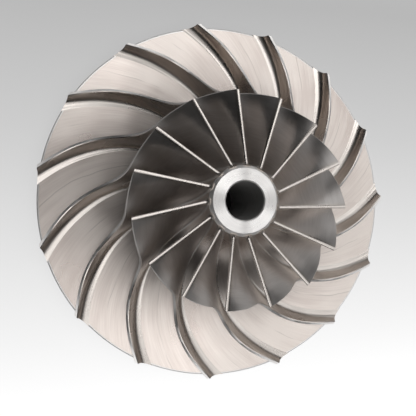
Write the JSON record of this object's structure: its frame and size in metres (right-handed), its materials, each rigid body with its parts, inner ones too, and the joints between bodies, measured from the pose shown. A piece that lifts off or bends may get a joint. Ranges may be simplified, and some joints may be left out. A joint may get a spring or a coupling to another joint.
{
  "type": "compressor impeller",
  "caption": "Open-faced centrifugal compressor impeller: a bored, trumpet-shaped hub and thin back disc with backswept blades.",
  "frame": {"origin": "on the axis, at the flat face of the rear boss that the wheel rests on", "axes": "+Z along the axis, from the rear boss towards the nose; +X and +Y across the wheel, along the picture's right and up"},
  "size_m": [0.3, 0.3, 0.0925],
  "materials": {
    "turned_steel": "satin",
    "milled_steel": "satin"
  },
  "bodies": {
    "root": {"hub": "turned_steel", "back_disc": "turned_steel", "rear_boss": "turned_steel", "blade_01": "milled_steel", "blade_02": "milled_steel", "blade_03": "milled_steel", "blade_04": "milled_steel", "blade_05": "milled_steel", "blade_06": "milled_steel", "blade_07": "milled_steel", "blade_08": "milled_steel", "blade_09": "milled_steel", "blade_10": "milled_steel", "blade_11": "milled_steel", "blade_12": "milled_steel", "blade_13": "milled_steel", "blade_14": "milled_steel", "blade_15": "milled_steel"}
  },
  "joints": []
}
